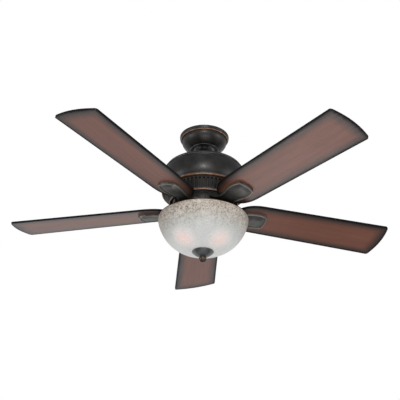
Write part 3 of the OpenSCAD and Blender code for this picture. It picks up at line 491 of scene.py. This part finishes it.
def make_vent_band():
    """The conical band with a rib between every two slots."""
    low, high = level("vent_band"), level("vent_band", False)
    top_r = reach("vent_band")
    bottom_r = reach("vent_trim_ring") - 0.8
    per_flute = 10
    rows = 14
    slope = (top_r - bottom_r) / (high - low)
    outer = [(bottom_r + slope * (high - low) * k / rows - 0.4, low + (high - low) * k / rows)
             for k in range(rows + 1)]
    wall = 7.0
    section = outer + [(top_r - wall, high), (bottom_r - wall, low)]
    bm = turned(section, FLUTES * per_flute)
    slot_end = 3.0
    for vert in bm.verts:
        radius = math.hypot(vert.co.x, vert.co.y)
        z = vert.co.z / MM
        on_face = radius / MM > bottom_r + slope * (z - low) - wall / 2
        if not on_face:
            continue
        phase = (math.atan2(vert.co.y, vert.co.x) / (2 * math.pi) * FLUTES) % 1.0
        rib = abs(phase - 0.5) * 2
        depth = SLOT_DEEP * min(1.0, max(0.0, (rib - 0.34) / 0.26))
        ends = min(1.0, max(0.0, (min(z - low, high - z) - slot_end) / 1.6))
        rounded = 0.9 * (1 - min(1.0, rib / 0.5) ** 2)
        shift = (-depth * ends + rounded * ends) * MM
        vert.co.x *= (radius + shift) / radius
        vert.co.y *= (radius + shift) / radius
    finish_piece(bm, "vent_ribs", bronze("vent_bronze", rough=0.42), "fan_body", ["vent_band"])


# ---- Blades and irons

def blade_matrix(index):
    """Puts a shape from a blade's own frame, in millimetres, into the row frame."""
    frame_z = level("vent_trim_ring") - BLADE_FRAME_DROP
    turn = math.radians(FIRST_BLADE_DEG + index * 360 / BLADE_COUNT)
    return (Matrix.Rotation(turn, 4, "Z") @ Matrix.Translation((0, 0, frame_z * MM))
            @ Matrix.Rotation(math.radians(-BLADE_CANT_DEG), 4, "Y")
            @ Matrix.Rotation(math.radians(-BLADE_PITCH_DEG), 4, "X") @ Matrix.Scale(MM, 4))


def blade_half(x):
    """Half of the blade's width at a distance from the centre line."""
    t = (x - BLADE_ROOT) / BLADE_ROUND
    straight = max(0.0, (x - BLADE_ROOT - BLADE_ROUND) / (BLADE_TIP - BLADE_ROOT - BLADE_ROUND))
    half = (BLADE_ROOT_W + (BLADE_TIP_W - BLADE_ROOT_W) * straight) / 2
    if t >= 1:
        return half
    return half * (1 - (1 - max(t, 0.0)) ** 2.3) ** (1 / 2.3)


def blade_rows():
    """(distance, half width) pairs from the root to the tip, with a round corner at the tip."""
    root_rows, mid_rows, corner_rows = 16, 28, 5
    rows = []
    for i in range(root_rows):
        x = BLADE_ROOT + BLADE_ROUND * (1 - math.cos(math.pi / 2 * (i + 0.5) / root_rows)) ** 1.2
        rows.append((x, blade_half(x)))
    last = BLADE_TIP - BLADE_CORNER
    for i in range(mid_rows):
        x = BLADE_ROOT + BLADE_ROUND + (last - BLADE_ROOT - BLADE_ROUND) * (i + 0.5) / mid_rows
        rows.append((x, blade_half(x)))
    for i in range(corner_rows + 1):
        a = math.pi / 2 * i / corner_rows
        rows.append((last + BLADE_CORNER * math.sin(a),
                     blade_half(last) - BLADE_CORNER + BLADE_CORNER * math.cos(a)))
    return rows


def make_blade(index, finish):
    """A flat blade with its own grain, and a map of how far each spot is from its edge."""
    rows = blade_rows()
    corner = BLADE_TIP - BLADE_CORNER
    columns = [math.sin(math.pi / 2 * k / 7) for k in range(-7, 8)]
    bm = bmesh.new()
    bmesh.ops.create_grid(bm, x_segments=len(rows) - 1, y_segments=len(columns) - 1, size=1.0)
    for vert in bm.verts:
        i = round((vert.co.x + 1) / 2 * (len(rows) - 1))
        j = round((vert.co.y + 1) / 2 * (len(columns) - 1))
        x, half = rows[i]
        c = columns[j]
        crown = BLADE_CROWN * c * c * max(0.0, (x - BLADE_TIP + 120) / 120) ** 2
        vert.co = Vector((x - crown, half * c, BLADE_THICK / 2))
    lower = bmesh.ops.extrude_face_region(bm, geom=list(bm.faces))["geom"]
    bmesh.ops.translate(bm, verts=[g for g in lower if isinstance(g, bmesh.types.BMVert)],
                        vec=(0, 0, -BLADE_THICK))
    bmesh.ops.recalc_face_normals(bm, faces=bm.faces)
    bmesh.ops.bevel(bm, geom=sharp_edges(bm, 60), offset=BLADE_BEVEL, offset_type="OFFSET", affect="EDGES",
                    segments=3, profile=0.5, material=-1, clamp_overlap=True)
    grain = bm.loops.layers.uv.new("grain")
    edge = bm.loops.layers.uv.new("edge")
    for face in bm.faces:
        for loop in face.loops:
            x, y, _ = loop.vert.co
            side = 0.5 if face.normal.z > 0 else 0.0
            loop[grain].uv = (x * MM + index * 1.37, y * MM + index * 0.21 + side)
            tip_inset = (BLADE_TIP - x - BLADE_CROWN * (y / blade_half(corner)) ** 2) * 0.72
            inset = min(blade_half(min(x, corner)) - abs(y), tip_inset + 1)
            inset = min(inset, (x - BLADE_ROOT) * 1.2 + 2)
            loop[edge].uv = (x / BLADE_TIP, 1.0 - max(0.0, inset) / BURN_REACH)
    bm.transform(blade_matrix(index))
    number = index + 1
    finish_piece(bm, f"fan_blade_{number}", finish, "rotor", [f"blade_{number}"], 30.0)


PAD_LINE = [(PAD_START, 52.0), (104.0, 45.0), (112.0, 33.5), (124.0, 27.5), (138.0, 28.6),
            (154.0, 32.4), (170.0, 35.4), (186.0, 35.2), (202.0, 32.4), (212.0, 29.4), (PAD_END, 27.4)]
PAD_CURVE = smooth_line(PAD_LINE, 4)


def pad_half(x):
    """Half of the iron's width at a distance from the centre line."""
    for (x0, w0), (x1, w1) in zip(PAD_CURVE, PAD_CURVE[1:]):
        if x <= x1:
            return w0 + (w1 - w0) * (x - x0) / (x1 - x0)
    return PAD_CURVE[-1][1]


def ease(t):
    """A smooth step from 0 to 1."""
    t = min(1.0, max(0.0, t))
    return t * t * (3 - 2 * t)


def pad_relief(inset):
    """How far the iron's face stands out at a distance in from its edge: rim, groove and pillow."""
    rim = RIM_HIGH * ease(inset / 1.2) * (1 - ease((inset - 3.4) / 1.6))
    pillow = PILLOW_HIGH * ease((inset - 5.6) / 17.0) ** 0.75 if inset > 5.6 else 0.0
    return rim + pillow


def make_iron(index, finish):
    """A cast arm with its pad under the blade, and its part of the ring."""
    rows = [PAD_START + (PAD_END - PAD_START) * (1 - (1 - k / 44) ** 1.35) for k in range(45)]
    columns = [math.sin(math.pi / 2 * k / 20) for k in range(-20, 21)]
    bm = bmesh.new()
    bmesh.ops.create_grid(bm, x_segments=len(rows) - 1, y_segments=len(columns) - 1, size=1.0)
    painted_rim_highlight = bm.verts.layers.float.new("painted_rim_highlight")
    top = -BLADE_THICK / 2
    for vert in bm.verts:
        x = rows[round((vert.co.x + 1) / 2 * (len(rows) - 1))]
        c = columns[round((vert.co.y + 1) / 2 * (len(columns) - 1))]
        bow = PAD_BOW * c * c * ease((x - 180) / (PAD_END - 180))
        vert.co = Vector((x - bow, pad_half(x) * c, top))
    below = bmesh.ops.extrude_face_region(bm, geom=list(bm.faces))["geom"]
    for vert in (g for g in below if isinstance(g, bmesh.types.BMVert)):
        x, y, _ = vert.co
        end_bow = PAD_BOW * (y / 24.5) ** 2 if x > 180 else 0.0
        inset = min(pad_half(x) - abs(y), max(0.0, PAD_END - end_bow - x))
        hub = ease((132 - x) / 30)
        relief = pad_relief(inset) * (1 - 0.75 * hub)
        vert.co.z = top - PAD_THICK - ARM_DEEP * hub - relief
        # The rim's crest gets a painted highlight, fainter towards the hub.
        crest = ease(1.6 - abs(inset - 2.3) / 1.3)
        vert[painted_rim_highlight] = crest * (1 - 0.7 * hub)
    # The arm's top drops clear of the motor where it passes under it.
    for vert in bm.verts:
        if vert.co.x < 108 and vert.co.z > top - 1:
            vert.co.z -= 2.0
    bmesh.ops.recalc_face_normals(bm, faces=bm.faces)
    bm.transform(blade_matrix(index))
    turn = Matrix.Rotation(math.radians(FIRST_BLADE_DEG + index * 360 / BLADE_COUNT), 4, "Z")
    ring = iron_ring_part()
    ring.transform(turn)
    mesh = bpy.data.meshes.new("ring_part")
    ring.to_mesh(mesh)
    ring.free()
    bm.from_mesh(mesh)
    bpy.data.meshes.remove(mesh)
    number = index + 1
    finish_piece(bm, f"cast_iron_{number}", finish, "rotor", [f"blade_iron_{number}"], 42.0)


def iron_ring_part():
    """The iron's part of the ring under the motor, with its flange."""
    top = level("lower_rotor_shell")
    low = top - IRON_RING_DEEP
    inner = 62.0
    section = [(inner, top), (IRON_RING - 1.6, top), (IRON_RING - 1.2, top - 0.6),
               (IRON_RING - 0.3, top - 1.4), (IRON_RING, top - 2.6), (IRON_RING, low + 3.4),
               (IRON_RING - 0.8, low + 1.2), (IRON_RING - 2.5, low),
               (IRON_RING - IRON_WALL + 0.8, low), (IRON_RING - IRON_WALL, low + 1.0),
               (IRON_RING - IRON_WALL, top - 5.0), (inner, top - 5.0)]
    gap = math.degrees(IRON_GAP / IRON_RING)
    return turned(section, 28, 360 / BLADE_COUNT - gap)


# ---- Bowl and finial

def bowl_drop(radius, bowl_r):
    """How far the bowl's outside lies under its rim at a radius."""
    return BOWL_DEPTH * (1 - (radius / bowl_r) ** BOWL_SHAPE) ** (1 / BOWL_POWER)


def make_bowl():
    """The glass bowl, with the hole that the rod goes through."""
    bowl_r = reach("glass_bowl")
    rim_z = level("glass_bowl", False)
    flat_r, hole_r = 22.0, 6.5
    steps = 40
    outer = []
    for k in range(steps + 1):
        r = flat_r + (bowl_r - flat_r) * math.sin(math.pi / 2 * (1 - k / steps))
        outer.append((r, rim_z - bowl_drop(r, bowl_r)))
    outer[0] = (bowl_r - 0.4, rim_z - 0.8)
    outer.insert(0, (bowl_r - 1.2, rim_z))
    floor = outer[-1][1]
    inside = [(r * (1 - BOWL_WALL / bowl_r), rim_z - (rim_z - z) * (1 - BOWL_WALL / BOWL_DEPTH))
              for r, z in outer[2:]]
    section = outer + [(hole_r, floor), (hole_r, floor + BOWL_WALL)]
    section += inside[::-1] + [(bowl_r - BOWL_WALL + 0.6, rim_z)]
    bm = turned(section, 160)
    # Centres of the painted glows on the glass.
    painted_glow_places = [(x, -0.057, floor * MM + 0.031) for x in (-0.057, 0.048)]
    finish = scavo_glass(rim_z, BOWL_DEPTH, painted_glow_places)
    finish_piece(bm, "frosted_bowl", finish, "bowl", ["glass_bowl"], 50.0)


def make_finial():
    """The flared cap under the bowl and the ball screwed onto the rod."""
    rim = reach("finial_cap")
    high, low = level("finial_cap", False), level("finial_cap")
    cap_rim = high - 0.2
    flare = smooth_line([(rim - 0.5, cap_rim), (rim, cap_rim - 0.8), (rim - 0.4, cap_rim - 1.9),
                         (rim - 3.4, cap_rim - 4.8), (rim - 7.6, cap_rim - 8.4),
                         (rim - 12.6, cap_rim - 11.8), (rim - 17.8, cap_rim - 14.6),
                         (rim - 22.0, low + 1.2)], 5)
    bore = 4.7
    section = flare + [(rim - 23.4, low + 0.5), (rim - 24.2, low), (bore, low), (bore, low + 1.5)]
    section += [(r - 1.5, z + 1.0) for r, z in flare[::-1] if r > bore + 6 and z < cap_rim - 1.5]
    section += [(rim - 1.8, cap_rim)]
    bm = turned(section, 96)
    finish = bronze("finial_bronze", metallic=0.75, rough=0.3,
                    shades=(rgb(0.125, 0.125, 0.127), rgb(0.185, 0.185, 0.188)))
    finish_piece(bm, "finial_flare", finish, "bowl", ["finial_cap"])

    top, bottom = level("finial_knob", False), level("finial_knob")
    ball = (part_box("finial_knob")[1].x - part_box("finial_knob")[0].x) / 2 / MM
    centre = bottom + ball
    rod_end = level("centre_rod") - 0.8
    bore = 4.3
    start = math.degrees(math.asin((top - centre) / ball))
    around = [(ball * math.cos(math.radians(a)), centre + ball * math.sin(math.radians(a)))
              for a in [start - (start + 90) * k / 20 for k in range(21)]]
    around[-1] = (0.02, bottom)
    section = [(bore, top)] + around + [(0.02, rod_end), (bore, rod_end)]
    finish_piece(turned(section, 72), "finial_ball", knob_finish(), "finial", ["finial_knob"])


def knob_finish():
    """Brown, half rubbed copper bronze."""
    made = Finish("finial_copper_bronze", Metallic=0.45, Roughness=0.36)
    cloud = made.noise(120.0, 4.0)
    made.set("Base Color", made.blend(made.spread(cloud, 0.35, 0.65),
                                      rgb(0.026, 0.017, 0.011), rgb(0.066, 0.040, 0.025)))
    made.bump(made.noise(600.0, 3.0), 0.1, 0.0005)
    return made.material


# ---- Studio

def make_studio():
    """The camera, the floor and the lights."""
    scene = bpy.context.scene
    scene.view_settings.view_transform = "Standard"
    camera = bpy.data.cameras.new("studio_camera")
    camera.lens = CAMERA_LENS
    camera.sensor_width = 36.0
    camera.shift_x, camera.shift_y = CAMERA_SHIFT
    camera.clip_end = 60.0
    holder = bpy.data.objects.new("studio_camera", camera)
    scene.collection.objects.link(holder)
    holder.location = CAMERA_PLACE
    look_up = math.radians(CAMERA_LOOK_UP_DEG)
    holder.rotation_euler = (Matrix.Rotation(math.pi / 2 + look_up, 3, "X")
                             @ Matrix.Rotation(CAMERA_ROLL, 3, "Z")).to_euler()
    scene.camera = holder

    bm = bmesh.new()
    bmesh.ops.create_circle(bm, cap_ends=True, radius=FLOOR_REACH, segments=96)
    bmesh.ops.translate(bm, verts=bm.verts, vec=(0, 0, FLOOR_Z))
    mesh = bpy.data.meshes.new("studio_floor")
    bm.to_mesh(mesh)
    bm.free()
    floor = bpy.data.objects.new("studio_floor", mesh)
    scene.collection.objects.link(floor)
    mesh.materials.append(plain("studio_floor", rgb(0.52, 0.52, 0.52), rgb(0.56, 0.56, 0.56),
                                0.0, 0.8, 2.0, 0.0))
    make_sky(scene)
    soft_light("front_box", (0.0, -3.4, 0.75), (0, 0, -0.18), (1.0, 0.55), 48.0)
    soft_light("left_box", (-3.4, -1.4, -0.4), (0, 0, -0.25), (1.2, 2.0), 26.0)
    soft_light("right_box", (3.4, -1.2, -0.2), (0, 0, -0.25), (1.2, 2.0), 26.0)
    soft_light("under_box", (0.3, -2.6, -2.6), (0, 0, -0.3), (2.0, 1.6), 34.0)
    soft_light("sheen_box", (0.0, 2.0, -2.85), (0.2, -0.3, -0.28), (1.0, 1.7), 13.0)


def make_sky(scene):
    """A white room, brightest around the fan's height and dimmer overhead and underfoot."""
    world = bpy.data.worlds.new("studio_world")
    world.use_nodes = True
    scene.world = world
    tree = world.node_tree
    where = tree.nodes.new("ShaderNodeTexCoord")
    split = tree.nodes.new("ShaderNodeSeparateXYZ")
    tree.links.new(where.outputs["Generated"], split.inputs[0])
    ramp = tree.nodes.new("ShaderNodeValToRGB")
    half = tree.nodes.new("ShaderNodeMath")
    half.operation = "MULTIPLY_ADD"
    half.inputs[1].default_value = 0.5
    half.inputs[2].default_value = 0.5
    tree.links.new(split.outputs["Z"], half.inputs[0])
    tree.links.new(half.outputs[0], ramp.inputs[0])
    stops = ramp.color_ramp.elements
    stops[0].position, stops[0].color = 0.0, rgb(0.06, 0.06, 0.06)
    stops[1].position, stops[1].color = 1.0, rgb(0.36, 0.38, 0.40)
    for place, grey in SKY_STOPS:
        stops.new(place).color = rgb(grey * 0.97, grey * 0.985, grey)
    soft = tree.nodes["Background"]
    tree.links.new(ramp.outputs["Color"], soft.inputs["Color"])
    seen = tree.nodes.new("ShaderNodeBackground")
    seen.inputs["Color"].default_value = rgb(1.0, 1.0, 1.0)
    path = tree.nodes.new("ShaderNodeLightPath")
    mix = tree.nodes.new("ShaderNodeMixShader")
    tree.links.new(path.outputs["Is Camera Ray"], mix.inputs[0])
    tree.links.new(soft.outputs[0], mix.inputs[1])
    tree.links.new(seen.outputs[0], mix.inputs[2])
    tree.links.new(mix.outputs[0], tree.nodes["World Output"].inputs[0])


def soft_light(name, place, aim, size, power):
    """A rectangular soft box at a place, turned towards a point."""
    light = bpy.data.lights.new(name, "AREA")
    light.shape = "RECTANGLE"
    light.size, light.size_y = size
    light.energy = power
    holder = bpy.data.objects.new(name, light)
    holder.location = place
    holder.rotation_euler = (Vector(aim) - Vector(place)).to_track_quat("-Z", "Y").to_euler()
    bpy.context.scene.collection.objects.link(holder)


# ---- Everything

make_studio()
make_canopy()
make_housing()
walnut_finish = walnut()
# The irons' rim crests get a pale painted highlight.
iron_finish = bronze("iron_bronze", highlight_attribute="painted_rim_highlight", highlight_tone=rgb(0.30, 0.265, 0.235), grain=1.6,
                     # The hub radii between which painted shade darkens the irons.
                     rough=0.36, metallic=0.6, shine=0.08, painted_hub_shade=(118, 150),
                     shades=(rgb(0.098, 0.096, 0.090), rgb(0.148, 0.144, 0.136)))
for blade in range(BLADE_COUNT):
    make_blade(blade, walnut_finish)
    make_iron(blade, iron_finish)
make_bowl()
make_finial()

slot_of = {entry["node"]: entry["material_slot"] for entry in frame["record"]["subparts"]}
finishes = cad_finishes()
for name, piece in cad.items():
    piece.data.materials.clear()
    piece.data.materials.append(finishes[slot_of[name]])
